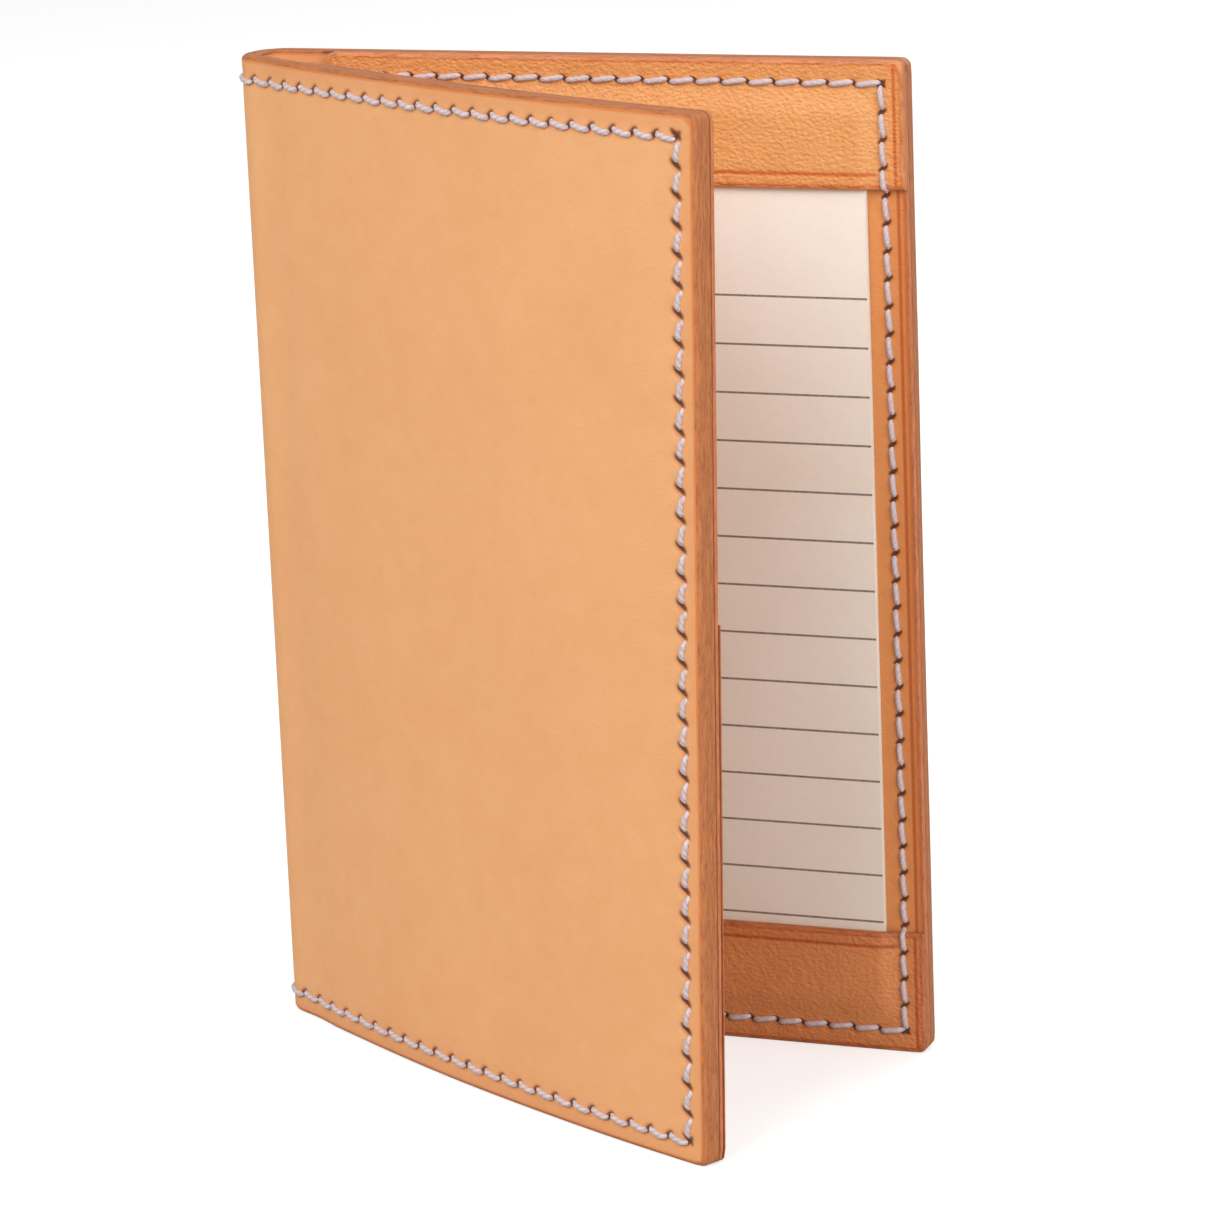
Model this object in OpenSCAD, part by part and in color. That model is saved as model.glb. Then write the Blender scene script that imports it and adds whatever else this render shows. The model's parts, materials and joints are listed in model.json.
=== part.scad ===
// Folding leather cover for a small stack of loose ruled cards.
// A thick outer leather folds round a soft spine. Each cover is lined, and saddle stitched
// along its head, fore-edge and tail. The back cover holds the cards under two strips, and
// the front cover has a slip pocket. The cover stands upright on its tail, part way open.
//
// Each cover is drawn in its own cover frame: x runs from the fold's hinge line to the
// fore-edge, y runs inward from the middle of the outer leather, and z runs up.

/* [Cover] */
// Height of the cover along the fold
cover_h = 134; // [132:0.5:140]
// Width of one cover from its hinge line to the fore-edge
cover_w = 87; // [86:0.5:92]
// Angle between the two covers as they stand
opening = 28; // [24:1:40]
// Radius of the corners at the fore-edge
corner_r = 1.5; // [1:0.5:3]

/* [Leather] */
// Thickness of the outer leather
outer_t = 2.6; // [2.4:0.1:2.8]
// Thickness of the lining
lining_t = 0.8; // [0.7:0.1:0.9]
// Thickness of the two strips that hold the cards
strip_t = 0.9; // [0.8:0.1:1.1]
// Thickness of the slip pocket
pocket_t = 0.7; // [0.6:0.1:0.9]
// Width of each strip, from the cover's edge to the strip's free edge
strip_w = 16.8; // [14:0.2:20]
// Height of the slip pocket above the tail
pocket_h = 70; // [50:1:100]
// Gap between the hinge line and the back lining and strips
back_lining_gap = 6; // [6:0.5:10]
// Gap between the hinge line and the front lining and pocket
front_lining_gap = 12; // [12:0.5:15]

/* [Stitching] */
// Distance from the cover's edge to the line of stitches
margin = 3; // [2.8:0.1:3.2]
// Stitches along the fore-edge of one cover
side_stitches = 35; // [33:1:37]
// Width of the waxed thread
thread_w = 0.8; // [0.7:0.05:0.85]
// Lean of each stitch away from its row
stitch_lean = 10; // [0:1:15]

/* [Cards] */
// Width of a card
card_w = 75; // [73:0.5:75]
// Height of a card
card_h = 125; // [122:0.5:125]
// Thickness of a card
card_t = 0.2; // [0.15:0.05:0.25]
// Gap between the cards and the fore-edge stitches
card_inset = 2.6; // [2.4:0.1:3]
// Space left between layers that slip over each other
slip = 0.1; // [0.08:0.01:0.12]

/* [Hidden] */

// Cards: three lie against each other, and the top one slips over them
card_count = 4;
card_room = card_count * card_t + 3 * slip; // slack under, over and inside the stack

// Layers, as distances inward from the middle of the outer leather
face = outer_t / 2;
lined = face + lining_t;
strip_top = lined + card_room + strip_t;
strip_seat = lined + strip_t;
pocket_slack = 0.2;
pocket_top = lined + pocket_slack + pocket_t;

// Fold: the covers lie this far apart when the cover is shut
shut_gap = 0.4;
shut_pitch = strip_top + pocket_top + shut_gap;
spine_r = shut_pitch / 2 / cos(opening / 2);
spine_arc = 180 - opening;
spine_out = spine_r + face;
spine_in = spine_r - face;
// Hollow end of each cover, round the spine's round edge
socket_r = face + 0.4;
front_hinge = [-spine_r * sin(opening), -spine_r * (1 + cos(opening))];

// Stitching; shown_share is the part of each pitch that shows as thread
stitch_x = cover_w - margin;
pitch = (cover_h - 2 * margin) / side_stitches;
shown_share = 0.76;
stitch_len = pitch * shown_share;
thread_r = thread_w / 2;
row_start = 3;
row_stitches = floor((stitch_x - row_start) / pitch);
spine_stitches = 3;
spine_step = spine_arc / (spine_stitches + 0.4);
spine_sweep = spine_step * (shown_share - 0.03);

// Channel under the strips
card_right = stitch_x - card_inset;
card_foot = (cover_h - card_h) / 2;
channel_right = stitch_x - 1.4;
channel_top = cover_h - card_foot + 0.3;
ramp = 1.1;
side_ramp = 1.3;
ramp_lead = 0.4;

// Seam of the slip pocket, from the cover's edge to where the pocket hangs free
pocket_seam = margin + 0.7;

// The origin is the middle of the whole object's footprint
left_x = -spine_out - thread_r;
back_y = face + thread_r;
front_y = front_hinge[1] - cover_w * sin(opening) - face * cos(opening);
centre = [(left_x + cover_w) / 2, (back_y + front_y) / 2];

over = 1;
$fn = 48;

// Placement

module centred() {
    translate([-centre[0], -centre[1], 0]) children();
}

module in_back_cover() {
    centred() mirror([0, 1, 0]) children();
}

module in_front_cover() {
    centred() translate(front_hinge) rotate([0, 0, -opening]) children();
}

module in_spine() {
    centred() translate([0, -spine_r, 0]) children();
}

module from_top() {
    translate([0, 0, cover_h]) mirror([0, 0, 1]) children();
}

// Shapes in the cover frame

// Extrudes an outline in x and z through the thickness, from one layer to another
module layer(low, high) {
    translate([0, high, 0]) rotate([90, 0, 0]) linear_extrude(high - low) children();
}

// Outline of a cover in x and z, with its two fore-edge corners rounded
module cover_outline() {
    square([cover_w - corner_r, cover_h]);
    translate([cover_w - corner_r, corner_r]) square([corner_r, cover_h - 2 * corner_r]);
    for (z = [corner_r, cover_h - corner_r])
        translate([cover_w - corner_r, z]) circle(corner_r);
}

// Part of the cover's outline, right of x and between two heights
module lining_outline(x, low, high) {
    intersection() {
        cover_outline();
        translate([x, low]) square([cover_w, high - low]);
    }
}

// Outer leather of one cover, hollowed at the hinge line for the spine's round edge
module panel() {
    difference() {
        layer(-face, face) cover_outline();
        translate([0, 0, -over]) cylinder(r = socket_r, h = cover_h + 2 * over);
    }
}

// Strip along the tail: its free edge stands proud over the cards, and its stitched
// edges are drawn down to the lining
module card_strip() {
    rise_z = cover_h - channel_top + ramp_lead;
    rise_x = channel_right - ramp_lead;
    difference() {
        intersection() {
            layer(lined, strip_top) lining_outline(back_lining_gap, 0, strip_w);
            rotate([90, 0, 90]) linear_extrude(cover_w + over)
                polygon([
                    [lined, 0], [strip_seat, 0], [strip_seat, rise_z - ramp],
                    [strip_top, rise_z], [strip_top, strip_w], [lined, strip_w]
                ]);
            linear_extrude(strip_w)
                polygon([
                    [0, lined], [0, strip_top], [rise_x, strip_top],
                    [rise_x + side_ramp, strip_seat], [cover_w, strip_seat], [cover_w, lined]
                ]);
        }
        translate([0, lined - over, cover_h - channel_top])
            cube([channel_right, over + card_room, strip_w]);
    }
}

// One visible stitch: a half-round bar lying along x on the plane y = 0
module stitch() {
    translate([-stitch_len / 2, 0, 0]) rotate([90, 0, 90]) linear_extrude(stitch_len)
        half_round();
}

module half_round() {
    intersection() {
        circle(thread_r, $fn = 24);
        translate([0, -thread_r]) square([thread_r, thread_w]);
    }
}

// A stitch on both faces of a cover
module stitch_pair(x, z, inner, turn) {
    translate([x, inner, z]) rotate([0, turn, 0]) stitch();
    translate([x, -face, z]) mirror([0, 1, 0]) rotate([0, turn, 0]) stitch();
}

// Row along the head or tail; beyond the lining's end it lies on the bare outer leather
module stitch_row(z, seat, lining_gap, lean) {
    for (k = [0 : row_stitches - 1]) {
        x = stitch_x - (k + 0.5) * pitch;
        stitch_pair(x, z, x + stitch_len / 2 > lining_gap ? seat : face, lean);
    }
}

// Run up the fore-edge; seats lists [low z, high z, layer] for each piece over the lining
module stitch_run(seats, lean) {
    for (k = [0 : side_stitches - 1]) {
        z = margin + (k + 0.5) * pitch;
        reach = stitch_len / 2;
        over_seats = [for (s = seats) if (z + reach > s[0] && z - reach < s[1]) s[2]];
        stitch_pair(stitch_x, z, max(concat([lined], over_seats)), 90 + lean);
    }
}

// Stitches round the outside and the inside of the spine
module spine_row(z) {
    for (k = [0 : spine_stitches - 1]) {
        turn = 90 + spine_arc / 2 + (k - (spine_stitches - 1) / 2) * spine_step - spine_sweep / 2;
        translate([0, 0, z]) rotate([0, 0, turn]) {
            rotate_extrude(angle = spine_sweep) translate([spine_out, 0]) half_round();
            rotate_extrude(angle = spine_sweep)
                translate([spine_in, 0]) mirror([1, 0]) half_round();
        }
    }
}

// One card; level counts the cards under it
module card(level, lift) {
    low = lined + slip + level * card_t + lift;
    translate([card_right - card_w, low, card_foot]) cube([card_w, card_t, card_h]);
}

// Back cover

module back_panel() {
    color([0.87, 0.62, 0.40]) in_back_cover() panel();
}

module back_lining() {
    color([0.80, 0.52, 0.30]) in_back_cover()
        layer(face, lined) lining_outline(back_lining_gap, 0, cover_h);
}

module top_strip() {
    color([0.90, 0.60, 0.34]) in_back_cover() from_top() card_strip();
}

module bottom_strip() {
    color([0.72, 0.45, 0.27]) in_back_cover() card_strip();
}

module back_top_stitches() {
    color([0.86, 0.80, 0.80]) in_back_cover()
        stitch_row(cover_h - margin, strip_seat, back_lining_gap, -stitch_lean);
}

module back_side_stitches() {
    color([0.86, 0.80, 0.80]) in_back_cover() stitch_run([
        [0, strip_w, strip_seat],
        [cover_h - strip_w, cover_h, strip_seat]
    ], -stitch_lean);
}

module back_bottom_stitches() {
    color([0.86, 0.80, 0.80]) in_back_cover()
        stitch_row(margin, strip_seat, back_lining_gap, -stitch_lean);
}

// Spine

module spine_panel() {
    color([0.90, 0.66, 0.44]) in_spine() linear_extrude(cover_h) {
        intersection() {
            difference() {
                circle(spine_out, $fn = 96);
                circle(spine_in, $fn = 96);
            }
            rotate(90 + spine_arc / 2) wedge(spine_arc, 2 * spine_out);
        }
        for (a = [90, 90 + spine_arc])
            rotate(a) translate([spine_r, 0]) circle(face);
    }
}

// Flat wedge centred on the x axis
module wedge(angle, reach) {
    half = angle / 2;
    polygon([
        [0, 0], reach * [cos(half), -sin(half)], [reach, -reach],
        [reach, reach], reach * [cos(half), sin(half)]
    ]);
}

module spine_top_stitches() {
    color([0.86, 0.80, 0.80]) in_spine() spine_row(cover_h - margin);
}

module spine_bottom_stitches() {
    color([0.86, 0.80, 0.80]) in_spine() spine_row(margin);
}

// Front cover

module front_panel() {
    color([0.92, 0.68, 0.46]) in_front_cover() panel();
}

module front_lining() {
    color([0.80, 0.52, 0.30]) in_front_cover()
        layer(face, lined) lining_outline(front_lining_gap, 0, cover_h);
}

module slip_pocket() {
    color([0.84, 0.56, 0.33]) in_front_cover() difference() {
        layer(lined, pocket_top) lining_outline(front_lining_gap, 0, pocket_h);
        translate([0, lined - over, pocket_seam])
            cube([cover_w - pocket_seam, over + pocket_slack, pocket_h]);
    }
}

module front_top_stitches() {
    color([0.86, 0.80, 0.80]) in_front_cover()
        stitch_row(cover_h - margin, lined, front_lining_gap, stitch_lean);
}

module front_side_stitches() {
    color([0.86, 0.80, 0.80]) in_front_cover()
        stitch_run([[0, pocket_h, pocket_top]], stitch_lean);
}

module front_bottom_stitches() {
    color([0.86, 0.80, 0.80]) in_front_cover()
        stitch_row(margin, pocket_top, front_lining_gap, stitch_lean);
}

// Cards

module bottom_card() {
    color([0.93, 0.90, 0.86]) in_back_cover() card(0, 0);
}

module third_card() {
    color([0.94, 0.91, 0.87]) in_back_cover() card(1, 0);
}

module second_card() {
    color([0.95, 0.92, 0.88]) in_back_cover() card(2, 0);
}

module top_card() {
    color([0.96, 0.93, 0.90]) in_back_cover() card(3, slip);
}

back_panel();
back_lining();
top_strip();
bottom_strip();
back_top_stitches();
back_side_stitches();
back_bottom_stitches();
spine_panel();
spine_top_stitches();
spine_bottom_stitches();
front_panel();
front_lining();
slip_pocket();
front_top_stitches();
front_side_stitches();
front_bottom_stitches();
bottom_card();
third_card();
second_card();
top_card();
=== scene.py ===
"""Looks of the folding leather cover: stitched leather sheets, waxed thread and ruled cards.

Every leather sheet is drawn in the cover's own unrolled coordinates, in metres:
s runs along the middle of the outer leather, from the back fore-edge round the fold to the
front fore-edge, w runs inward from the middle of the outer leather, and z runs up.
place() rolls those coordinates up into the row frame.
"""
import json
import math

import bpy
import numpy as np
from mathutils import Matrix, Vector


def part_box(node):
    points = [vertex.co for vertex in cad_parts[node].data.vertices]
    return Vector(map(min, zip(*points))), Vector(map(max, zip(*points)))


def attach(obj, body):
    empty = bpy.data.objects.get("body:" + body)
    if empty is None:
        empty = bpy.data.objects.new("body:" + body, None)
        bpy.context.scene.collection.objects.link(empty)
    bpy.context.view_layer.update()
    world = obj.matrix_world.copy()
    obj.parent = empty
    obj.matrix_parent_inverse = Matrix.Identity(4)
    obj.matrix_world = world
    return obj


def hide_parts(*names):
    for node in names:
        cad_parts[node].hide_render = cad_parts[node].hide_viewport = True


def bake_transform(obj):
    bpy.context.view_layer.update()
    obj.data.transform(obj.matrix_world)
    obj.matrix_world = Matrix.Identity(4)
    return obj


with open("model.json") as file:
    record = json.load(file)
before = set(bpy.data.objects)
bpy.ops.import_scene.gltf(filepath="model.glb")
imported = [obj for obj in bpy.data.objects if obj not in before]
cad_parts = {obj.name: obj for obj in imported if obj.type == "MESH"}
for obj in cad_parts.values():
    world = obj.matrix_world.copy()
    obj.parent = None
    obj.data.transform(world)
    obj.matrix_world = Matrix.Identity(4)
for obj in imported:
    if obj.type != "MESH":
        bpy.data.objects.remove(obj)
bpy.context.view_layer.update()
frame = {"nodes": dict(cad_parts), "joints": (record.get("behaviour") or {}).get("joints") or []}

MM = 0.001

# Sizes taken from the frame

joints = {j["name"]: j for j in frame["joints"]}
back_hinge = np.array(joints["spine_fold"]["pos_m"])[:2]
front_hinge = np.array(joints["front_fold"]["pos_m"])[:2]
chord = front_hinge - back_hinge
opening = 2 * math.atan2(-chord[0], -chord[1])
spine_r = np.hypot(*chord) / (2 * math.cos(opening / 2))
spine_centre = back_hinge - np.array([0, spine_r])
half_spine = spine_r * (math.pi - opening) / 2


def back_cover_box(node):
    """Lowest and highest (u, w, z) of a node on the back cover, u running from its hinge."""
    low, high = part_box(node)
    return (
        (low.x - back_hinge[0], back_hinge[1] - high.y, low.z),
        (high.x - back_hinge[0], back_hinge[1] - low.y, high.z),
    )


def front_cover_box(node):
    """Lowest and highest (u, w, z) of a node on the front cover, u running from its hinge."""
    points = np.array([v.co for v in frame["nodes"][node].data.vertices])
    across = points[:, :2] - front_hinge
    cos_o, sin_o = math.cos(opening), math.sin(opening)
    u = across[:, 0] * cos_o - across[:, 1] * sin_o
    w = across[:, 0] * sin_o + across[:, 1] * cos_o
    cover = np.stack([u, w, points[:, 2]], 1)
    return tuple(cover.min(0)), tuple(cover.max(0))


panel_box = back_cover_box("back_panel")
face = panel_box[1][1]
cover_w = panel_box[1][0]
cover_h = panel_box[1][2]
edge_s = cover_w + half_spine

lining_box = back_cover_box("back_lining")
lined = lining_box[1][1]
back_gap = lining_box[0][0]
front_gap = front_cover_box("front_lining")[0][0]
strip_box = back_cover_box("top_strip")
strip_w = cover_h - strip_box[0][2]
pocket_box = front_cover_box("slip_pocket")
pocket_h = pocket_box[1][2]
top_row_z = (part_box("back_top_stitches")[0].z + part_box("back_top_stitches")[1].z) / 2
margin = cover_h - top_row_z

# Details that the frame doesn't hold

corner_r = 1.3 * MM
strip_t = 0.9 * MM
pocket_t = 0.4 * MM
pocket_slack = 0.15 * MM
strip_rise = 0.75 * MM
side_stitches = 35
row_stitches = 49
spine_row_stitches = 5
thread_r = 0.39 * MM
grid_per_stitch = 6
bow_depth = 2.18 * MM
bow_start = 9 * MM
twist_head = 1.4 * MM
twist_tail = -3.0 * MM
fore_edge_shift = 0.3 * MM
crease_from_strip_edge = 2.0 * MM
crease_from_fore_edge = 1.35 * MM
crease_short_of_seam = 0.9 * MM
crease_depth = 0.11 * MM
crease_reach = 0.28 * MM
no_crease = 9 * MM

# Radii of rounded edges
outer_round = 0.7 * MM
bare_round = 0.57 * MM
covered_round = 0.12 * MM
layer_round = 0.4 * MM
seated_round = 0.1 * MM

# Hollows that the thread pulls into the leather
dip_reach = 0.75 * MM
dip_overrun = 0.2
seam_share = 0.35
outer_dip = 0.20 * MM
lining_dip = 0.12 * MM
strip_dip = 0.16 * MM
pocket_dip = 0.14 * MM

# Height and length of the leather's slow unevenness
outer_wave = 0.10 * MM
outer_wave_length = 11 * MM
calm_by_fold = 9 * MM
lining_wave = 0.04 * MM
lining_wave_length = 9 * MM
strip_wave = 0.05 * MM
strip_wave_length = 7 * MM

# How strips and pocket lift off between their seams
held_beside_seam = 0.7 * MM
held_along_row = 0.5 * MM
strip_side_slope = 2.6 * MM
strip_row_slope = 4.0 * MM
pocket_slope = 6 * MM

stitch_s = edge_s - margin
side_pitch = (cover_h - 2 * margin) / side_stitches
row_pitch = 2 * stitch_s / row_stitches
row_holes = -stitch_s + row_pitch * np.arange(row_stitches + 1)
side_holes = margin + side_pitch * np.arange(side_stitches + 1)
strip_seat = lined + strip_t
pocket_seat = lined + pocket_t

BACK, FRONT = -1, 1
side_names = {BACK: "back", FRONT: "front"}
gaps = {BACK: back_gap, FRONT: front_gap}


# Shape of the whole cover

def smooth(x):
    """0 below 0, 1 above 1 and a smooth step between."""
    x = np.clip(x, 0, 1)
    return x * x * (3 - 2 * x)


def waves(s, z, scale):
    """Slow, shallow unevenness of a leather sheet, from -1 to 1."""
    a, b = s / scale, z / scale
    return (
        np.sin(1.1 * a + 0.7 * b + 0.4)
        + np.sin(0.6 * a - 1.3 * b + 1.9)
        + np.sin(1.9 * a + 0.3 * b + 4.1)
        + np.sin(0.4 * a + 2.1 * b + 2.7)
    ) / 4


def place(s, w, z):
    """Rolls unrolled coordinates up into the row frame."""
    s, w, z = np.broadcast_arrays(np.asarray(s, float), w, z)
    height = z / cover_h
    u = np.abs(s) - half_spine
    angle = math.pi / 2 + (np.clip(s, -half_spine, half_spine) + half_spine) / spine_r
    radius = spine_r - w
    x = spine_centre[0] + radius * np.cos(angle)
    y = spine_centre[1] + radius * np.sin(angle)
    along = np.maximum(u, 0)
    t = along / cover_w
    bow = bow_depth * 4 * t * (1 - t) * smooth(along / bow_start)
    out = bow - (twist_tail + (twist_head - twist_tail) * height) * t
    front = s > 0
    x = x + np.where(front, along * math.cos(opening) - out * math.sin(opening), along)
    y = y + np.where(front, -along * math.sin(opening) - out * math.cos(opening), 0)
    return np.stack([x, y, z], -1)


def seat(s, z, inner):
    """Level w of the leather that a stitch at s, z lies on."""
    if not inner:
        return np.full(np.shape(s), -face)
    u = np.abs(s) - half_spine
    on_strip = (z < strip_w) | (z > cover_h - strip_w)
    back = np.where(u < back_gap, face, np.where(on_strip, strip_seat, lined))
    front = np.where(u < front_gap, face, np.where(z < pocket_h, pocket_seat, lined))
    return np.where(s > 0, front, back)


# Mesh helpers

def make_mesh(name, cover, faces, attributes, normals=None):
    """A smooth mesh object from unrolled points, quads as an (n, 4) array and attributes."""
    points = place(cover[:, 0], cover[:, 1], cover[:, 2])
    mesh = bpy.data.meshes.new(name)
    mesh.vertices.add(len(points))
    mesh.vertices.foreach_set("co", points.astype(np.float32).ravel())
    mesh.loops.add(faces.size)
    mesh.loops.foreach_set("vertex_index", faces.astype(np.int32).ravel())
    mesh.polygons.add(len(faces))
    mesh.polygons.foreach_set("loop_start", np.arange(0, faces.size, 4, dtype=np.int32))
    mesh.polygons.foreach_set("use_smooth", np.ones(len(faces), bool))
    mesh.update(calc_edges=True)
    mesh.validate()
    held = mesh.attributes.new("cover_mm", "FLOAT_VECTOR", "POINT")
    held.data.foreach_set("vector", (cover / MM).astype(np.float32).ravel())
    for key, values in attributes.items():
        held = mesh.attributes.new(key, "FLOAT", "POINT")
        held.data.foreach_set("value", (values / MM).astype(np.float32))
    if normals is not None:
        mesh.normals_split_custom_set_from_vertices(normals.tolist())
    piece = bpy.data.objects.new(name, mesh)
    bpy.context.scene.collection.objects.link(piece)
    return piece


def vertex_normals(points, faces):
    """Area-weighted vertex normals of a quad mesh."""
    a, b, c, d = (points[faces[:, k]] for k in range(4))
    face_normals = np.cross(c - a, d - b)
    total = np.zeros_like(points)
    for k in range(4):
        np.add.at(total, faces[:, k], face_normals)
    return total / np.maximum(np.linalg.norm(total, axis=1, keepdims=True), 1e-12)


def rounding(distance, radius):
    """How far a face has dropped this near to an edge that is rounded off."""
    short = np.clip(radius - distance, 0, radius)
    return radius - np.sqrt(np.maximum(radius * radius - short * short, 0))


def edge_lines(radius):
    """Distances from an edge at which its rounding needs a line of the grid."""
    turns = np.radians([0, 24, 46, 68, 90])
    return radius * (1 - np.cos(turns))


closest_lines = 0.03 * MM
line_inside_edge = 1.9 * MM


def lines(low, high, inner, radius, extra=()):
    """Grid lines from low to high: rounded ends, the lines between them, and extra ones."""
    ends = edge_lines(radius)
    found = [low + ends, high - ends, np.asarray(extra, float)]
    clear = radius * 1.25
    found.append(inner[(inner > low + clear) & (inner < high - clear)])
    found = np.unique(np.round(np.concatenate(found), 9))
    found = found[(found >= low - 1e-9) & (found <= high + 1e-9)]
    keep = [found[0]]
    for value in found[1:]:
        if value - keep[-1] > closest_lines:
            keep.append(value)
    keep[-1] = high
    return np.array(keep)


def round_corner(s, z, distance, corner_s, corner_z, side_s):
    """Pulls the grid in a square corner onto a round one, and corrects the edge distances."""
    side_z = 1 if corner_z > cover_h / 2 else -1
    middle_s, middle_z = corner_s - side_s * corner_r, corner_z - side_z * corner_r
    a = (s - middle_s) * side_s / corner_r
    b = (z - middle_z) * side_z / corner_r
    zone = (a > 0) & (b > 0)
    a, b = np.clip(a, 0, 1), np.clip(b, 0, 1)
    disc_a, disc_b = a * np.sqrt(1 - b * b / 2), b * np.sqrt(1 - a * a / 2)
    s = np.where(zone, middle_s + side_s * corner_r * disc_a, s)
    z = np.where(zone, middle_z + side_z * corner_r * disc_b, z)
    round_distance = corner_r * (1 - np.hypot(disc_a, disc_b))
    return s, z, np.where(zone, round_distance, distance)


def sheet(s_lines, z_lines, low, high, low_round, high_round, corners=(), creases=(), rims=3):
    """A closed sheet of leather as (points, quads, attributes).

    low and high give its outward and inward faces, and low_round and high_round the
    rounding of their edges, as functions of s and z. corners lists its round corners, and
    creases the functions that give the distance to a creased line."""
    s, z = np.meshgrid(s_lines, z_lines, indexing="ij")
    ends_s = np.minimum(s - s_lines[0], s_lines[-1] - s)
    ends_z = np.minimum(z - z_lines[0], z_lines[-1] - z)
    distance = np.minimum(ends_s, ends_z)
    for corner in corners:
        s, z, distance = round_corner(s, z, distance, *corner)
    crease = np.full(s.shape, no_crease)
    for gap in creases:
        crease = np.minimum(crease, gap(s, z))
    groove = crease_depth * np.exp(-((crease / crease_reach) ** 2))
    w_high = high(s, z) - groove - rounding(distance, high_round(s, z))
    w_low = low(s, z) + rounding(distance, low_round(s, z))
    n, m = s.shape
    index = np.arange(n * m).reshape(n, m)
    quads = np.stack([index[:-1, :-1], index[:-1, 1:], index[1:, 1:], index[1:, :-1]], -1)
    quads = quads.reshape(-1, 4)
    around = np.concatenate([index[:-1, 0], index[-1, :-1], index[:0:-1, -1], index[0, :0:-1]])
    high_points = np.stack([s, w_high, z], -1).reshape(-1, 3)
    low_points = np.stack([s, w_low, z], -1).reshape(-1, 3)
    blocks = [high_points, low_points]
    loops = [around + n * m]
    start = 2 * n * m
    for k in range(1, rims + 1):
        share = k / (rims + 1)
        row = low_points[around] * (1 - share) + high_points[around] * share
        blocks.append(row)
        loops.append(start + np.arange(len(around)))
        start += len(around)
    loops.append(around)
    faces = [quads, quads[:, ::-1] + n * m]
    for lower, upper in zip(loops[:-1], loops[1:]):
        faces.append(np.stack([lower, upper, np.roll(upper, -1), np.roll(lower, -1)], -1))
    rim_count = rims * len(around)
    flat = distance.ravel()
    attributes = {
        "edge": np.concatenate([flat, flat, np.zeros(rim_count)]),
        "crease": np.concatenate([crease.ravel(), np.full(n * m + rim_count, no_crease)]),
    }
    return np.concatenate(blocks), np.concatenate(faces), attributes


def level(value):
    """A flat face at one level."""
    return lambda s, z: np.full(np.shape(s), float(value))


def hole_dips(s, z, depth, shift=0.0):
    """Depth of the hollows that the thread pulls round each hole, and of the line between.

    shift moves the fore-edge runs toward the fore-edge."""
    shape = s.shape
    s, z = s.ravel(), z.ravel()
    dip = np.zeros(s.shape)
    for row_z in (margin, cover_h - margin):
        near = np.abs(z - row_z) < 4 * dip_reach
        off = (s[near] + stitch_s) / row_pitch
        along = (off - np.round(off)) * row_pitch
        inside = (off > -dip_overrun) & (off < row_stitches + dip_overrun)
        gap = (along**2 + (z[near] - row_z) ** 2) / dip_reach**2
        dip[near] += inside * np.exp(-gap)
        groove = np.exp(-(((z[near] - row_z) / dip_reach) ** 2))
        dip[near] += seam_share * inside * groove
    near = np.abs(np.abs(s) - stitch_s - shift) < 4 * dip_reach
    off = (z[near] - margin) / side_pitch
    along = (off - np.round(off)) * side_pitch
    inside = (off > -dip_overrun) & (off < side_stitches + dip_overrun)
    across = np.abs(s[near]) - stitch_s - shift
    gap = (along**2 + across**2) / dip_reach**2
    dip[near] = np.maximum(dip[near], inside * np.exp(-gap))
    dip[near] += seam_share * inside * np.exp(-((across / dip_reach) ** 2))
    return (depth * dip).reshape(shape)


row_lines = np.linspace(-stitch_s, stitch_s, row_stitches * grid_per_stitch + 1)
row_ends = [-edge_s + line_inside_edge, edge_s - line_inside_edge]
row_lines = np.concatenate([row_lines, row_ends])
height_lines = np.linspace(margin, cover_h - margin, side_stitches * grid_per_stitch + 1)
height_ends = [line_inside_edge, cover_h - line_inside_edge]
height_lines = np.concatenate([height_lines, height_ends])


def corners_of(side, heights, gap=None):
    """The round corners at these heights: at the fore-edge, and at a gap from the hinge."""
    found = [(side * edge_s, z, side) for z in heights]
    if gap is not None:
        found += [(span(side, gap), z, -side) for z in heights]
    return found


def span(side, u):
    """s at a distance u from one cover's hinge."""
    return side * (u + half_spine)


# Reaches on the cover and on the spine side of each hinge line; blend_over_hinge finds points at
# them but doesn't use them
flat_reach = 4 * MM
fold_reach = 3 * MM


def blend_over_hinge(piece, side):
    """Bakes the transform of a piece of the fold between one cover and the spine into its mesh;
    it bends nothing.
    """
    cover_end = place(side * (half_spine + flat_reach), 0, cover_h / 2)
    spine_end = place(side * (half_spine - fold_reach), 0, cover_h / 2)
    if side == BACK:
        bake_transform(piece)
    else:
        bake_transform(piece)


# Leather sheets

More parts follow.
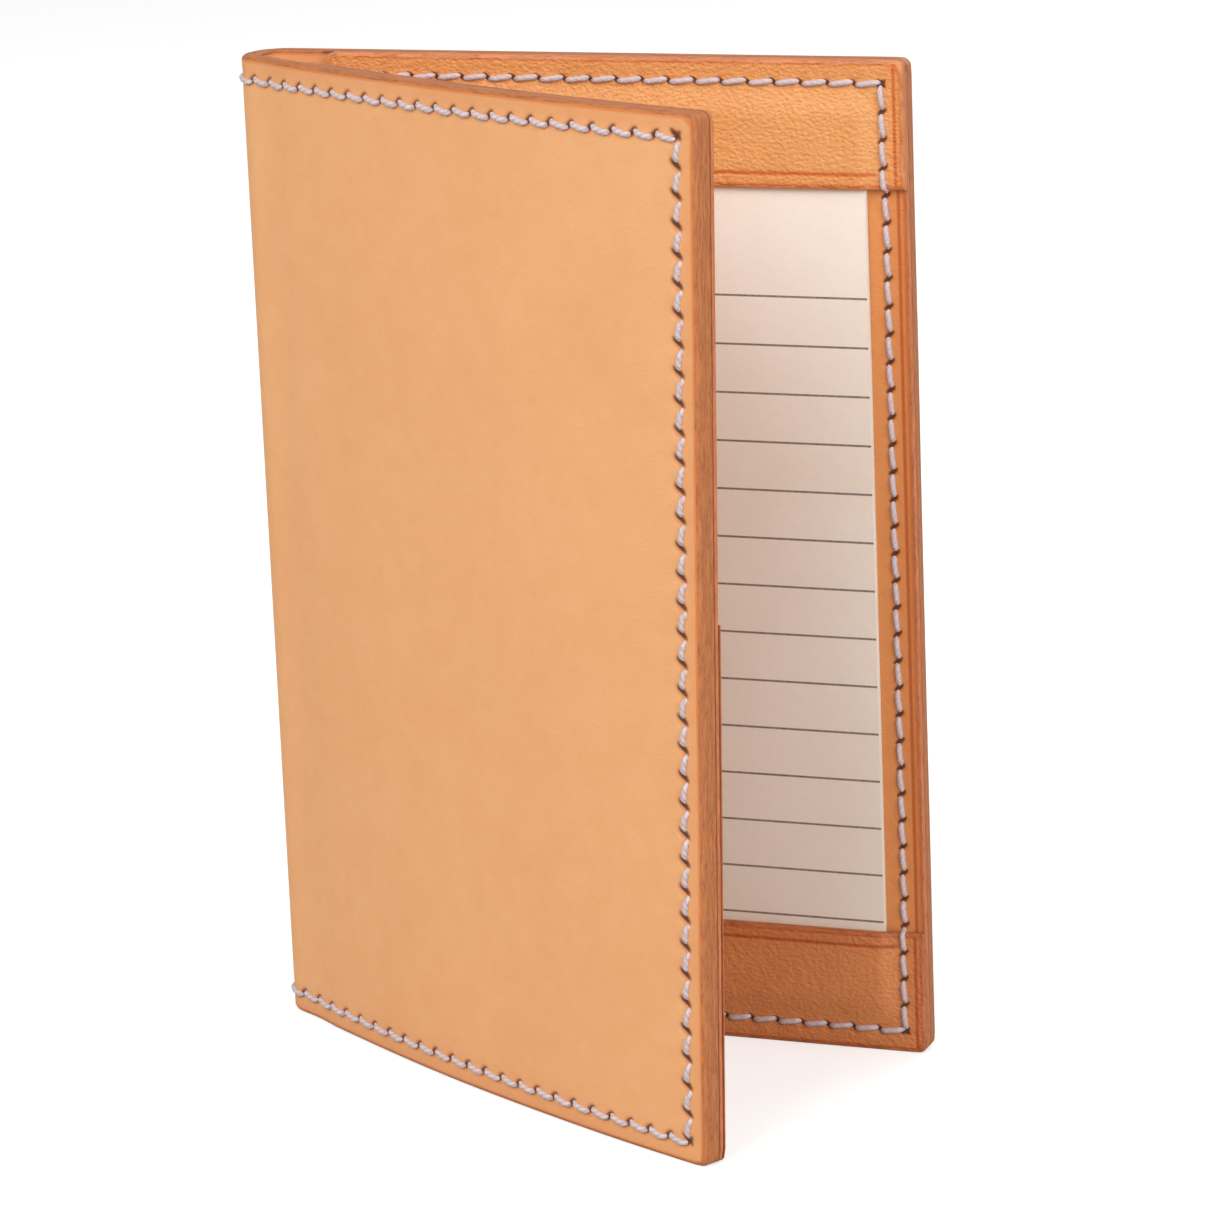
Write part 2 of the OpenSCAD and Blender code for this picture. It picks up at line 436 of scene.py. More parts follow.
def outer_leather(material):
    """The outer leather, one sheet round the fold, parted out of sight in the middle of it."""
    s_lines = lines(-edge_s, edge_s, row_lines, outer_round)
    z_lines = lines(0, cover_h, height_lines, outer_round)

    def outside(s, z):
        clear_of_fold = smooth((np.abs(s) - half_spine) / calm_by_fold)
        uneven = outer_wave * waves(s, z, outer_wave_length) * clear_of_fold
        return -face + uneven + hole_dips(s, z, outer_dip, fore_edge_shift)

    def inside_round(s, z):
        """Rounder where the edge is bare, from the end of the lining to the fold."""
        u = np.abs(s) - half_spine
        gap = np.where(s > 0, front_gap, back_gap)
        bare = smooth((gap - 0.5 * MM - u) / MM)
        return covered_round + (bare_round - covered_round) * bare

    corners = corners_of(BACK, (0, cover_h)) + corners_of(FRONT, (0, cover_h))
    cover, faces, held = sheet(
        s_lines, z_lines, outside, level(face), level(outer_round), inside_round, corners
    )
    normals = vertex_normals(place(cover[:, 0], cover[:, 1], cover[:, 2]), faces)
    for side, side_name in side_names.items():
        inside = (cover[:, 0] * side > -1e-7)[faces].all(axis=1)
        used = np.unique(faces[inside])
        place_of = np.full(len(cover), -1)
        place_of[used] = np.arange(len(used))
        piece = make_mesh(
            f"{side_name}_outer_leather", cover[used], place_of[faces[inside]],
            {key: values[used] for key, values in held.items()}, normals[used],
        )
        blend_over_hinge(piece, side)
        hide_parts(f"{side_name}_panel", "spine_panel")
        piece.data.materials.append(material)


def fore_edge_crease(s, z):
    """Distance to the line creased along the fore-edge, outside the stitches."""
    return np.abs(np.abs(s) - (edge_s - crease_from_fore_edge))


def level_crease(crease_z):
    """Distance to a line creased at one height, which stops short of the fore-edge seam."""
    def distance(s, z):
        beyond = np.maximum(np.abs(s) - (stitch_s - crease_short_of_seam), 0)
        return np.hypot(z - crease_z, beyond)

    return distance


def around(value):
    """Grid lines that a creased line at this place needs."""
    return [value + k * crease_reach for k in (-2, -1, 0, 1, 2)]


def cover_layer(name, side, node, material, z_range, low, high,
                corner_heights, crease_z=None):
    """One leather layer on the inside of a cover, from short of its hinge to its fore-edge."""
    gap = gaps[side]
    creases = [fore_edge_crease]
    extra_s = [span(side, u) for u in around(cover_w - crease_from_fore_edge)]
    extra_z = []
    if crease_z is not None:
        creases.append(level_crease(crease_z))
        extra_z = around(crease_z)
    s_ends = sorted((span(side, gap), span(side, cover_w)))
    s_lines = lines(*s_ends, row_lines, layer_round, extra_s)
    z_lines = lines(*z_range, height_lines, layer_round, extra_z)
    cover, faces, held = sheet(
        s_lines, z_lines, low, high, level(seated_round), level(layer_round),
        corners_of(side, corner_heights, gap), creases,
    )
    piece = make_mesh(name, cover, faces, held)
    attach(piece, f"{side_names[side]}_cover")
    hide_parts(node)
    piece.data.materials.append(material)


def linings(material):
    """The lining of each cover."""
    def high(s, z):
        uneven = lining_wave * waves(s, z, lining_wave_length)
        return lined - hole_dips(s, z, lining_dip) + uneven

    for side, side_name in side_names.items():
        cover_layer(
            f"{side_name}_lining_leather", side, f"{side_name}_lining",
            material, (0, cover_h), level(face), high, (0, cover_h),
        )


def card_strips(top_material, shaded_bottom_material):
    """The strips that hold the cards: raised over the cards, drawn down along the seams. The
    bottom one gets a darker copy of the leather, painted shade.
    """
    for name, material, seam_z, free_z, corner_z in (
        ("top_strip", top_material, cover_h - margin, cover_h - strip_w, cover_h),
        ("bottom_strip", shaded_bottom_material, margin, strip_w, 0),
    ):
        def lift(s, z, seam_z=seam_z):
            from_side = (stitch_s - held_beside_seam - np.abs(s)) / strip_side_slope
            from_seam = (np.abs(z - seam_z) - held_along_row) / strip_row_slope
            toward_cards = (z - seam_z) * (cover_h / 2 - seam_z) > 0
            return strip_rise * smooth(from_side) * smooth(from_seam) * toward_cards

        def high(s, z, lift=lift):
            uneven = strip_wave * waves(s, z, strip_wave_length)
            return strip_seat + lift(s, z) - hole_dips(s, z, strip_dip) + uneven

        def low(s, z, lift=lift):
            return lined + lift(s, z)

        inward = 1 if free_z > cover_h / 2 else -1
        cover_layer(
            f"{name}_leather", BACK, name, material,
            sorted((free_z, corner_z)), low, high, (corner_z,),
            free_z + inward * crease_from_strip_edge,
        )


def slip_pocket(material):
    """The pocket on the front lining, slack between its three stitched sides."""
    def slack(s, z):
        from_side = (stitch_s - held_beside_seam - np.abs(s)) / pocket_slope
        from_tail = (z - margin - held_beside_seam) / pocket_slope
        return pocket_slack * smooth(from_side) * smooth(from_tail)

    def high(s, z):
        return pocket_seat + slack(s, z) - hole_dips(s, z, pocket_dip)

    def low(s, z):
        return lined + slack(s, z)

    cover_layer(
        "slip_pocket_leather", FRONT, "slip_pocket", material,
        (0, pocket_h), low, high, (0,), pocket_h - crease_from_strip_edge,
    )


# Stitches

thread_sides = 10
thread_rings = 17
thread_depth = 0.62 * MM
thread_height = 0.08 * MM
dive_length = 0.85 * MM
ply_depth = 0.07
ply_turns = 1.15
swing_power = 1.9
thread_sway = 0.14
end_taper = 0.12
seat_reach = 0.45 * MM


def thread(start, end, inner, rng):
    """One stitch, from hole to hole: (points, quads, ply attribute) in unrolled coordinates.

    It comes out of one slit and dives into the next. On the outside it swings across its seam
    near one of them, the first in a row and the upper one in a fore-edge run."""
    start, end = np.array(start), np.array(end)
    shift = end - start
    length = np.hypot(*shift)
    upright = abs(shift[1]) > abs(shift[0])
    across = np.array([-1.0, 0.0]) if upright else np.array([0.0, 1.0])
    even = np.linspace(0, 1, thread_rings)
    t = 0.5 - 0.5 * np.cos(math.pi * even) * (0.75 + 0.25 * np.abs(2 * even - 1))
    x = t * length
    swing = t if inner else (t**swing_power if upright else 1 - (1 - t) ** swing_power)
    share = np.column_stack([swing, t]) if upright else np.column_stack([t, swing])
    sway = thread_r * thread_sway * rng.uniform(-1, 1)
    centre = start + share * shift + np.outer(sway * np.sin(math.pi * t), across)
    near_end = np.minimum(x, length - x)
    height = -thread_depth + (thread_depth + thread_height) * smooth(near_end / dive_length)
    steps = (-seat_reach, 0, seat_reach)
    levels = [seat(centre[:, 0] + step, centre[:, 1], inner) for step in steps]
    base = np.max(levels, axis=0) if inner else levels[1]
    way = 1 if inner else -1
    tangent = np.gradient(np.column_stack([centre, height]), axis=0)
    tangent /= np.linalg.norm(tangent, axis=1, keepdims=True)
    side = np.tile([*across, 0.0], (thread_rings, 1))
    up = np.cross(side, tangent)
    up /= np.linalg.norm(up, axis=1, keepdims=True)
    up *= np.sign(up[:, 2:3] + 1e-9)
    turn = np.arange(thread_sides) * 2 * math.pi / thread_sides
    phase = rng.uniform(0, 2 * math.pi)
    ply = np.cos(3 * turn[None, :] + 2 * math.pi * ply_turns * t[:, None] * 3 + phase)
    taper = 1 - end_taper * np.abs(2 * t - 1) ** 3
    radius = thread_r * (1 + ply_depth * ply) * taper[:, None]
    offset = (
        (radius * np.cos(turn))[:, :, None] * side[:, None, :]
        + (radius * np.sin(turn))[:, :, None] * up[:, None, :]
    )
    points = np.column_stack([centre, height])[:, None, :] + offset
    s, z, h = points[..., 0], points[..., 1], points[..., 2]
    w = base[:, None] + way * h
    cover = np.stack([s, w, z], -1).reshape(-1, 3)
    index = np.arange(thread_rings * thread_sides).reshape(thread_rings, thread_sides)
    after = np.roll(index, -1, axis=1)
    quads = np.stack([index[:-1], after[:-1], after[1:], index[1:]], -1).reshape(-1, 4)
    if way < 0:
        quads = quads[:, ::-1]
    ends = []
    for ring in (index[0][::-1], index[-1]):
        ring = ring if way > 0 else ring[::-1]
        half = thread_sides // 2
        for k in range(half - 1):
            ends.append([ring[k], ring[k + 1], ring[-k - 2], ring[-k - 1]])
    return cover, np.concatenate([quads, np.array(ends)]), ply.ravel() * MM


def thread_piece(name, stitches, material, seed):
    """One mesh of several stitches, each given as (start, end, inner)."""
    rng = np.random.default_rng(seed)
    covers, quads, plies, count = [], [], [], 0
    for start, end, inner in stitches:
        cover, faces, ply = thread(start, end, inner, rng)
        covers.append(cover)
        quads.append(faces + count)
        plies.append(ply)
        count += len(cover)
    piece = make_mesh(name, np.concatenate(covers), np.concatenate(quads),
                      {"ply": np.concatenate(plies)})
    piece.data.materials.append(material)
    return piece


# Each slit leans across its row; a thread leaves it at one end and enters the next at the other
row_slit_turn = math.radians(40)
side_slit_turn = math.radians(-38)
row_outer = np.array([0.16, 0.36]) * MM
side_outer = np.array([-0.30, 0.40]) * MM
inner_offset = 0.26 * MM


def both_faces(first, second, outer, aside=0.0):
    """A stitch on the outside and one on the inside, between the same two holes.

    outer is where the outside one starts, from the middle of its hole, and aside moves it
    along s."""
    inner = outer * inner_offset / np.hypot(*outer)
    moved = outer + np.array([aside, 0.0])
    back_again = outer - np.array([aside, 0.0])
    return [(first + moved, second - back_again, False), (first + inner, second - inner, True)]


def row_stitch(k, z):
    """The pair of stitches between two holes of the head or tail row."""
    return both_faces(
        np.array([row_holes[k], z]), np.array([row_holes[k + 1], z]), row_outer
    )


def side_stitch(k, s):
    """The pair of stitches between two holes of a fore-edge run."""
    return both_faces(
        np.array([s, side_holes[k]]), np.array([s, side_holes[k + 1]]), side_outer,
        fore_edge_shift * np.sign(s),
    )


def stitches(material):
    """The rows at head and tail, in four pieces each, and the runs along the fore-edges."""
    each = (row_stitches - spine_row_stitches) // 2
    middle = row_stitches // 2 + 1
    on_cover = {BACK: range(each), FRONT: range(row_stitches - each, row_stitches)}
    on_spine = {BACK: range(each, middle), FRONT: range(middle, row_stitches - each)}
    for row_name, z, seed in (("top", cover_h - margin, 10), ("bottom", margin, 20)):
        for side, side_name in side_names.items():
            chosen = [p for k in on_cover[side] for p in row_stitch(k, z)]
            piece = thread_piece(
                f"{side_name}_{row_name}_thread", chosen, material, seed + side
            )
            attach(piece, f"{side_name}_cover")
            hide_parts(f"{side_name}_{row_name}_stitches")
        for side, side_name in side_names.items():
            chosen = [p for k in on_spine[side] for p in row_stitch(k, z)]
            piece = thread_piece(
                f"spine_{row_name}_thread_{side_name}", chosen, material, seed + 5 + side
            )
            blend_over_hinge(piece, side)
            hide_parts(f"spine_{row_name}_stitches")
    for side, side_name in side_names.items():
        chosen = [p for k in range(side_stitches) for p in side_stitch(k, side * stitch_s)]
        piece = thread_piece(f"{side_name}_side_thread", chosen, material, 30 + side)
        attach(piece, f"{side_name}_cover")
        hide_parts(f"{side_name}_side_stitches")


# Cards

card_gap = 0.02 * MM
card_peek = 0.12 * MM
card_rest = 0.06 * MM
card_thinned = 0.03 * MM
card_wave = 0.02 * MM
card_wave_length = 16 * MM
card_lines_s = 42
card_lines_z = 66


def cards(papers):
    """The four cards; the lower ones lie a little to the right of the top one."""
    names = ("bottom_card", "third_card", "second_card", "top_card")
    peeks = (1.0, 0.72, 0.88, 0.0)
    for k, (name, share) in enumerate(zip(names, peeks)):
        low, high = back_cover_box(name)
        thickness = high[1] - low[1] - card_thinned
        base = lined + card_rest + k * (thickness + card_gap)
        peek = card_peek * share
        s_lines = np.linspace(
            span(BACK, high[0] + peek), span(BACK, low[0] + peek), card_lines_s
        )
        z_lines = np.linspace(low[2], high[2], card_lines_z)

        def bottom(s, z, base=base, k=k):
            return base + card_wave * waves(s + 3 * k * MM, z, card_wave_length)

        def top(s, z, bottom=bottom, thickness=thickness):
            return bottom(s, z) + thickness

        cover, faces, held = sheet(
            s_lines, z_lines, bottom, top, level(0), level(0), rims=1
        )
        piece = make_mesh(f"{name}_sheet", cover, faces, held)
        piece.data.set_sharp_from_angle(angle=math.radians(40))
        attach(piece, "top_card" if name == "top_card" else "card_stack")
        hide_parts(name)
        piece.data.materials.append(papers[name == "top_card"])


# Materials

def srgb(red, green, blue):
    """A linear colour from sRGB values of 0 to 255."""
    found = []
    for value in (red, green, blue):
        value /= 255
        found.append(value / 12.92 if value <= 0.04045 else ((value + 0.055) / 1.055) ** 2.4)
    return (*found, 1)


class Tree:
    """Short calls for a material's nodes."""

    def __init__(self, name):
        self.material = bpy.data.materials.new(name)
        self.material.use_nodes = True
        self.nodes = self.material.node_tree.nodes
        self.links = self.material.node_tree.links
        self.shader = self.nodes["Principled BSDF"]
        self.cover = self.attribute("cover_mm", "Vector")
        self.s, self.w, self.z = self.split(self.cover)

    def put(self, socket, value):
        if isinstance(value, bpy.types.NodeSocket):
            self.links.new(value, socket)
        else:
            socket.default_value = value

    def attribute(self, name, output="Fac"):
        node = self.nodes.new("ShaderNodeAttribute")
        node.attribute_name = name
        return node.outputs[output]

    def split(self, vector):
        node = self.nodes.new("ShaderNodeSeparateXYZ")
        self.put(node.inputs[0], vector)
        return tuple(node.outputs)

    def math(self, operation, a, b=0.0, c=0.0):
        node = self.nodes.new("ShaderNodeMath")
        node.operation = operation
        for socket, value in zip(node.inputs, (a, b, c)):
            self.put(socket, value)
        return node.outputs[0]

    def ramp(self, value, low, high, to_low=0.0, to_high=1.0):
        """value from low to high becomes to_low to to_high, with a smooth step."""
        node = self.nodes.new("ShaderNodeMapRange")
        node.interpolation_type = "SMOOTHSTEP"
        for name, number in (("Value", value), ("From Min", low), ("From Max", high),
                             ("To Min", to_low), ("To Max", to_high)):
            self.put(node.inputs[name], number)
        return node.outputs[0]

    def mix(self, share, a, b):
        node = self.nodes.new("ShaderNodeMix")
        node.data_type = "RGBA"
        self.put(node.inputs[0], share)
        self.put(node.inputs[6], a)
        self.put(node.inputs[7], b)
        return node.outputs[2]

    def scaled(self, by):
        node = self.nodes.new("ShaderNodeVectorMath")
        node.operation = "MULTIPLY"
        self.put(node.inputs[0], self.cover)
        node.inputs[1].default_value = by
        return node.outputs[0]

    def noise(self, scale, detail=2.0, roughness=0.5, vector=None, distortion=0.0):
        node = self.nodes.new("ShaderNodeTexNoise")
        self.put(node.inputs["Vector"], vector or self.cover)
        node.inputs["Scale"].default_value = scale
        node.inputs["Detail"].default_value = detail
        node.inputs["Roughness"].default_value = roughness
        node.inputs["Distortion"].default_value = distortion
        return node.outputs[0]

    def cells(self, scale, vector):
        node = self.nodes.new("ShaderNodeTexVoronoi")
        node.feature = "SMOOTH_F1"
        self.put(node.inputs["Vector"], vector)
        node.inputs["Scale"].default_value = scale
        return node.outputs["Distance"]

    def bump(self, height, distance, after=None):
        node = self.nodes.new("ShaderNodeBump")
        node.inputs["Strength"].default_value = 1.0
        node.inputs["Distance"].default_value = distance
        self.put(node.inputs["Height"], height)
        if after is not None:
            self.put(node.inputs["Normal"], after)
        return node.outputs[0]

    def finish(self, colour, roughness, normal):
        self.put(self.shader.inputs["Base Color"], colour)
        self.put(self.shader.inputs["Roughness"], roughness)
        self.put(self.shader.inputs["Normal"], normal)
        return self.material


# Half length and half width in mm, on the inside and on the outside, of the marks at a slit: a
# ring of painted shade, with some burnish, over the hollow round it, then the painted shade in
# the awl hole, whole and at its dark middle
slit_hollow_shade = ((1.0, 0.7), (1.4, 0.8))
slit_shade_body = ((0.85, 0.38), (1.15, 0.46))
slit_shade_core = ((0.7, 0.26), (0.75, 0.24))
slit_beside_thread = 0.42
slit_overrun = 1.2


def slit_field(tree, inner_half, outer_half):
    """1 at the middle of each slit, falling to 0 at an ellipse of (length, width) in mm.

    inner_half and outer_half are its half sizes on the inside and on the outside, where
    the fore-edge slits show beside the thread, up and away from the edge."""
    outside = tree.math("LESS_THAN", tree.w, 0.0)
    half_length, half_width = (
        tree.math("MULTIPLY_ADD", outside, outer_half[k] - inner_half[k], inner_half[k])
        for k in (0, 1)
    )

    def ellipse(along, across, turn, beside):
        cos_t, sin_t = math.cos(turn), math.sin(turn)
        p = tree.math("MULTIPLY_ADD", along, cos_t, tree.math("MULTIPLY", across, sin_t))
        p = tree.math("ADD", p, tree.math("MULTIPLY", outside, beside))
        q = tree.math("MULTIPLY_ADD", across, cos_t, tree.math("MULTIPLY", along, -sin_t))
        p, q = tree.math("DIVIDE", p, half_length), tree.math("DIVIDE", q, half_width)
        p, q = tree.math("MULTIPLY", p, p), tree.math("MULTIPLY", q, q)
        return tree.ramp(tree.math("ADD", p, q), 1.3, 0.3)

    def nearest(value, start, step):
        share = tree.math("DIVIDE", tree.math("SUBTRACT", value, start), step)
        away = tree.math("SUBTRACT", share, tree.math("ROUND", share))
        return tree.math("MULTIPLY", away, step)

    s_mm = stitch_s / MM
    h_mm = cover_h / MM
    m_mm = margin / MM
    upper = tree.math("GREATER_THAN", tree.z, h_mm / 2)
    row_z = tree.math("MULTIPLY_ADD", upper, h_mm - 2 * m_mm, m_mm)
    row = ellipse(
        nearest(tree.s, -s_mm, row_pitch / MM), tree.math("SUBTRACT", tree.z, row_z),
        row_slit_turn, 0.0,
    )
    in_row = tree.math("LESS_THAN", tree.math("ABSOLUTE", tree.s), s_mm + slit_overrun)
    run_s = tree.math("MULTIPLY_ADD", outside, fore_edge_shift / MM, s_mm)
    side_s = tree.math("MULTIPLY", tree.math("SIGN", tree.s), run_s)
    run = ellipse(
        tree.math("SUBTRACT", tree.s, side_s), nearest(tree.z, m_mm, side_pitch / MM),
        side_slit_turn, slit_beside_thread,
    )
    centred_z = tree.math("ABSOLUTE", tree.math("SUBTRACT", tree.z, h_mm / 2))
    in_run = tree.math("LESS_THAN", centred_z, h_mm / 2 - m_mm + slit_overrun)
    return tree.math(
        "MAXIMUM", tree.math("MULTIPLY", row, in_row), tree.math("MULTIPLY", run, in_run)
    )


mottle = 0.5
# Colours of the painted shade in the awl holes
slit_shade_brown = srgb(112, 58, 28)
slit_shade_dark = srgb(46, 24, 14)
# Colour of the painted shade in the grooves between the leather layers
joint_shade_brown = srgb(84, 40, 22)


def leather(name, light, deep, burnish_and_shade, rim, grain, gloss, hollow_shade=0.3):
    """Vegetable-tanned leather: mottled grain, burnished creases and rims, slits for thread,
    painted shade in and round the slits and along the joints of its cut edge.

    light and deep are its two tones; the burnish colour is that of rubbed lines and also of
    the painted shade round the slits; rim is that of its cut edge; grain is the height of its
    pebbles in mm, gloss its smoothness, and the slit shade share how much painted shade,
    with some burnish, darkens the hollow round its slits."""
    tree = Tree(name)
    edge = tree.attribute("edge")
    crease = tree.attribute("crease")

    # Mottled face
    clouds = tree.math("MULTIPLY", tree.noise(0.055, 4, 0.6, distortion=0.6), 0.55)
    patches = tree.math("MULTIPLY", tree.noise(0.3, 3, 0.6), 0.45)
    tone = tree.math("ADD", clouds, patches)
    share = tree.ramp(tone, 0.3, 0.7, 0.5 - mottle / 2, 0.5 + mottle / 2)
    colour = tree.mix(share, light, deep)
    specks = tree.ramp(tree.noise(2.6, 3, 0.7), 0.35, 0.7)
    colour = tree.mix(tree.math("MULTIPLY", specks, 0.2), colour, deep)

    # Warmer toward the edge, with a rubbed line on it and in each crease
    rub = tree.noise(0.4, 2, 0.5)
    wavy_edge = tree.math("ADD", edge, tree.ramp(rub, 0.2, 0.8, -0.08, 0.08))
    wide = tree.math("MULTIPLY", tree.ramp(edge, 3.6, 0.8), 0.22)
    colour = tree.mix(wide, colour, burnish_and_shade)
    rubbed = tree.ramp(rub, 0.3, 0.7, 0.45, 0.9)
    line = tree.math("MULTIPLY", tree.ramp(wavy_edge, 0.85, 0.55), rubbed)
    colour = tree.mix(line, colour, burnish_and_shade)
    creased = tree.math("MULTIPLY", tree.ramp(crease, 0.38, 0.06), 0.9)
    colour = tree.mix(creased, colour, burnish_and_shade)

    # Slits: painted shade in each awl hole, brown with a darker middle
    # Round each slit: painted shade of the hollow there, with some burnish, in the burnish
    # colour
    shade_round_slit = tree.math("MULTIPLY", slit_field(tree, *slit_hollow_shade), hollow_shade)
    colour = tree.mix(shade_round_slit, colour, burnish_and_shade)
    slit = slit_field(tree, *slit_shade_body)
    colour = tree.mix(tree.math("MULTIPLY", slit, 0.85), colour, slit_shade_brown)
    core_shade = tree.math("MULTIPLY", slit_field(tree, *slit_shade_core), 0.7)
    colour = tree.mix(core_shade, colour, slit_shade_dark)

    # Cut edge: fibres, streaks, and painted shade in the grooves between the layers
    fibres = tree.noise(1.0, 4, 0.6, tree.scaled((0.9, 5.5, 0.9)))
    streaks = tree.noise(1.0, 2, 0.5, tree.scaled((0.25, 2.6, 0.25)))
    rim_dark = (rim[0] * 0.72, rim[1] * 0.62, rim[2] * 0.52, 1)
    rim_light = (*(min(c * 1.22, 1) for c in rim[:3]), 1)
    rim_colour = tree.mix(tree.ramp(fibres, 0.32, 0.62), rim_dark, rim)
    rim_colour = tree.mix(tree.ramp(streaks, 0.42, 0.7, 0, 0.8), rim_colour, rim_light)
    for joint_w, reach_mm, share in ((face, 0.18, 0.6), (lined, 0.14, 0.35)):
        off = tree.math("ABSOLUTE", tree.math("SUBTRACT", tree.w, joint_w / MM))
        joint_shade = tree.math("MULTIPLY", tree.ramp(off, reach_mm, 0.02), share)
        rim_colour = tree.mix(joint_shade, rim_colour, joint_shade_brown)
    on_rim = tree.ramp(wavy_edge, 0.5, 0.36)
    colour = tree.mix(on_rim, colour, rim_colour)

    # Relief: pebbled face, fibrous edge, pressed slits
    pebble = tree.cells(2.1, tree.scaled((0.8, 1.0, 1.15)))
    fine_pebble = tree.math("MULTIPLY", tree.noise(4.2, 3, 0.6), 0.5)
    wrinkle = tree.noise(0.8, 4, 0.62, distortion=0.8)
    height = tree.math("MULTIPLY_ADD", pebble, 0.9, fine_pebble)
    height = tree.math("MULTIPLY_ADD", wrinkle, 0.35, height)
    height = tree.mix(on_rim, height, tree.math("MULTIPLY", fibres, 1.2))
    normal = tree.bump(height, grain * MM)
    normal = tree.bump(tree.math("MULTIPLY", slit, -1.0), 0.15 * MM, after=normal)

    rough = 1 - gloss
    roughness = tree.ramp(tree.noise(0.5, 3, 0.6), 0.3, 0.7, rough - 0.07, rough + 0.07)
    tree.shader.inputs["Specular IOR Level"].default_value = 0.42
    tree.shader.inputs["Subsurface Weight"].default_value = 0.04
    tree.shader.inputs["Subsurface Radius"].default_value = (1, 0.5, 0.25)
    tree.shader.inputs["Subsurface Scale"].default_value = 0.6 * MM
    return tree.finish(colour, roughness, normal)


def waxed_thread():
    """Waxed linen thread: pale, slightly lilac, with painted shade between its plies."""
    tree = Tree("waxed_thread")
    ply = tree.attribute("ply")
    fibre = tree.noise(5.0, 3, 0.6)
    colour = tree.mix(tree.ramp(fibre, 0.3, 0.7), srgb(214, 200, 203), srgb(192, 174, 178))
    # Painted shade in the grooves between the plies
    colour = tree.mix(tree.ramp(ply, 0.1, -1.0, 0, 0.55), colour, srgb(158, 134, 128))
    height = tree.math("ADD", tree.math("MULTIPLY", ply, 0.5), fibre)
    tree.shader.inputs["Sheen Weight"].default_value = 0.15
    return tree.finish(colour, 0.52, tree.bump(height, 0.05 * MM))


# Ruled lines, in mm: the highest, the step between them, their half width, the blur of
# their sides, and how far they stay off the card's edge
line_first = 102.84
line_step = 6.5186
line_half = 0.14
line_blur = 0.05
line_margin = 0.05


def card_paper(ruled):
    """Smooth warm-white card; the top one is ruled."""
    tree = Tree("ruled_card" if ruled else "plain_card")
    fibre = tree.noise(0.9, 5, 0.7)
    tone = tree.noise(0.03, 2, 0.5)
    colour = tree.mix(tree.ramp(tone, 0.3, 0.7), srgb(238, 229, 218), srgb(233, 221, 206))
    colour = tree.mix(tree.ramp(fibre, 0.35, 0.75, 0, 0.12), colour, srgb(214, 196, 180))
    edge = tree.attribute("edge")
    if ruled:
        share = tree.math("DIVIDE", tree.math("SUBTRACT", line_first, tree.z), line_step)
        off = tree.math("SUBTRACT", share, tree.math("ROUND", share))
        gap = tree.math("MULTIPLY", tree.math("ABSOLUTE", off), line_step)
        line = tree.ramp(gap, line_half + line_blur, line_half - line_blur)
        line = tree.math("MULTIPLY", line, tree.math("GREATER_THAN", share, -0.5))
        line = tree.math("MULTIPLY", line, tree.math("GREATER_THAN", edge, line_margin))
        ink = tree.ramp(tree.noise(3.0, 2, 0.5), 0.2, 0.8, 0.75, 0.95)
        colour = tree.mix(tree.math("MULTIPLY", line, ink), colour, srgb(92, 76, 68))
    return tree.finish(colour, 0.6, tree.bump(fibre, 0.012 * MM))


outer_skin = leather(
    "outer_leather", srgb(235, 175, 121), srgb(226, 160, 104), srgb(205, 108, 40),
    srgb(178, 108, 60), grain=0.035, gloss=0.42, hollow_shade=0.45,
)
lining_skin = leather(
    "lining_leather", srgb(222, 149, 88), srgb(207, 131, 74), srgb(180, 88, 36),
    srgb(200, 118, 70), grain=0.06, gloss=0.5,
)
top_strip_skin = leather(
    "top_strip_leather", srgb(230, 166, 104), srgb(219, 148, 85), srgb(198, 96, 34),
    srgb(206, 132, 84), grain=0.2, gloss=0.62,
)
# The bottom strip is the same leather as the top one, painted darker as shade of the low inside
# of the fold
shaded_bottom_strip_skin = leather(
    "bottom_strip_leather", srgb(220, 144, 88), srgb(208, 127, 72), srgb(176, 80, 30),
    srgb(188, 112, 68), grain=0.2, gloss=0.58,
)
pocket_skin = leather(
    "pocket_leather", srgb(228, 156, 94), srgb(212, 134, 76), srgb(184, 92, 38),
    srgb(200, 116, 68), grain=0.07, gloss=0.5,
)
thread_skin = waxed_thread()
papers = {True: card_paper(True), False: card_paper(False)}

outer_leather(outer_skin)
linings(lining_skin)
card_strips(top_strip_skin, shaded_bottom_strip_skin)
slip_pocket(pocket_skin)
stitches(thread_skin)
cards(papers)


# Floor, light and camera

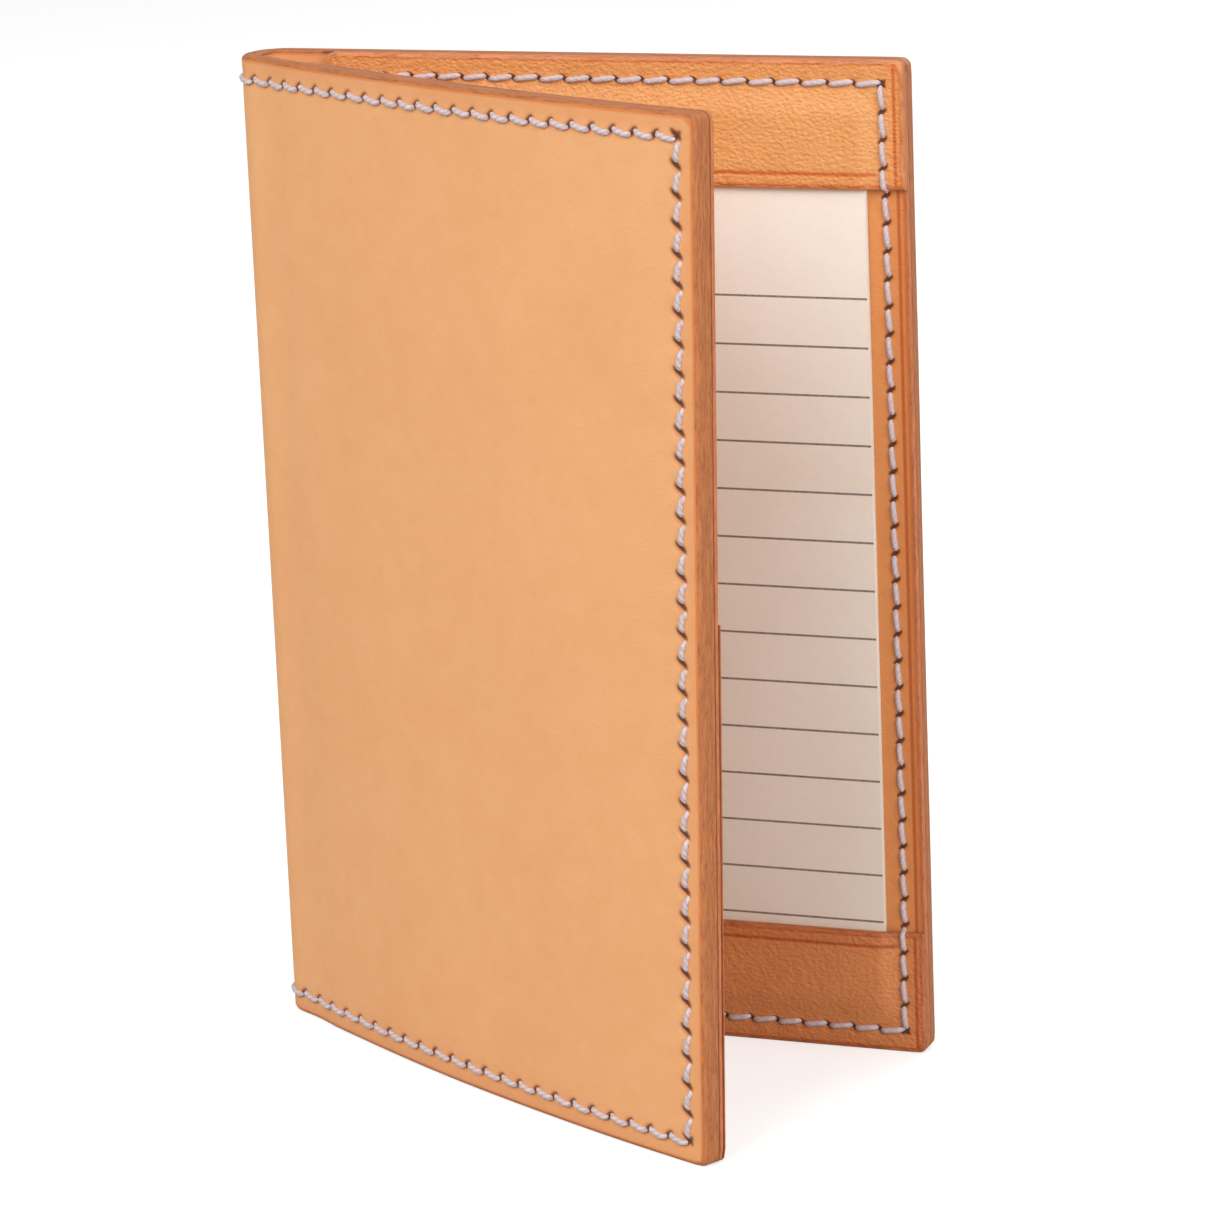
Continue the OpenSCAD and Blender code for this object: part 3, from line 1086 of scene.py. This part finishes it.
def pale_floor():
    """A wide, pale floor, lifted to the white of the background where the camera sees it."""
    reach = 8.0
    mesh = bpy.data.meshes.new("floor")
    mesh.from_pydata(
        [(-reach, -reach, 0), (reach, -reach, 0), (reach, reach, 0), (-reach, reach, 0)],
        [], [(0, 1, 2, 3)],
    )
    floor = bpy.data.objects.new("floor", mesh)
    bpy.context.scene.collection.objects.link(floor)
    material = bpy.data.materials.new("floor")
    material.use_nodes = True
    nodes, links = material.node_tree.nodes, material.node_tree.links
    shader = nodes["Principled BSDF"]
    shader.inputs["Base Color"].default_value = (0.62, 0.62, 0.62, 1)
    shader.inputs["Roughness"].default_value = 0.9
    shader.inputs["Specular IOR Level"].default_value = 0.1
    shader.inputs["Emission Color"].default_value = (1, 1, 1, 1)
    seen = nodes.new("ShaderNodeLightPath")
    glow = nodes.new("ShaderNodeMath")
    glow.operation = "MULTIPLY"
    glow.inputs[1].default_value = 0.55
    links.new(seen.outputs["Is Camera Ray"], glow.inputs[0])
    links.new(glow.outputs[0], shader.inputs["Emission Strength"])
    mesh.materials.append(material)


def area_light(name, place_at, aim_at, size, power):
    lamp = bpy.data.lights.new(name, "AREA")
    lamp.shape = "DISK"
    lamp.size = size
    lamp.energy = power
    light = bpy.data.objects.new(name, lamp)
    light.location = place_at
    way = Vector(aim_at) - Vector(place_at)
    light.rotation_mode = "QUATERNION"
    light.rotation_quaternion = way.to_track_quat("-Z", "Y")
    bpy.context.scene.collection.objects.link(light)


def studio():
    """Soft white light from all round, a key light, a fill and one from behind."""
    world = bpy.data.worlds.new("studio")
    world.use_nodes = True
    background = world.node_tree.nodes["Background"]
    background.inputs["Color"].default_value = (1, 1, 1, 1)
    background.inputs["Strength"].default_value = 0.49
    bpy.context.scene.world = world
    bpy.context.scene.view_settings.view_transform = "Standard"
    middle = (0.0, 0.0, 0.07)
    area_light("key", (-0.30, -0.75, 0.95), middle, size=0.8, power=8.2)
    area_light("fill", (0.8, -0.6, 0.55), middle, size=0.6, power=6)
    area_light("back", (0.3, 0.9, 0.6), middle, size=0.8, power=3)


def camera():
    """Stands where it sees the cover at the reference angle."""
    azimuth = math.radians(21.56)
    elevation = math.radians(14.21)
    roll = math.radians(-2.31)
    distance = 0.6145
    aim = Vector((0.0265, -0.0394, 0.0760))
    ahead = Vector((
        -math.sin(azimuth) * math.cos(elevation),
        math.cos(azimuth) * math.cos(elevation),
        -math.sin(elevation),
    ))
    data = bpy.data.cameras.new("camera")
    data.sensor_width = 36
    data.lens = 150.27
    data.clip_start = 0.01
    eye = bpy.data.objects.new("camera", data)
    turn = ahead.to_track_quat("-Z", "Y").to_matrix() @ Matrix.Rotation(roll, 3, "Z")
    eye.matrix_world = Matrix.Translation(aim - ahead * distance) @ turn.to_4x4()
    bpy.context.scene.collection.objects.link(eye)
    bpy.context.scene.camera = eye


pale_floor()
studio()
camera()
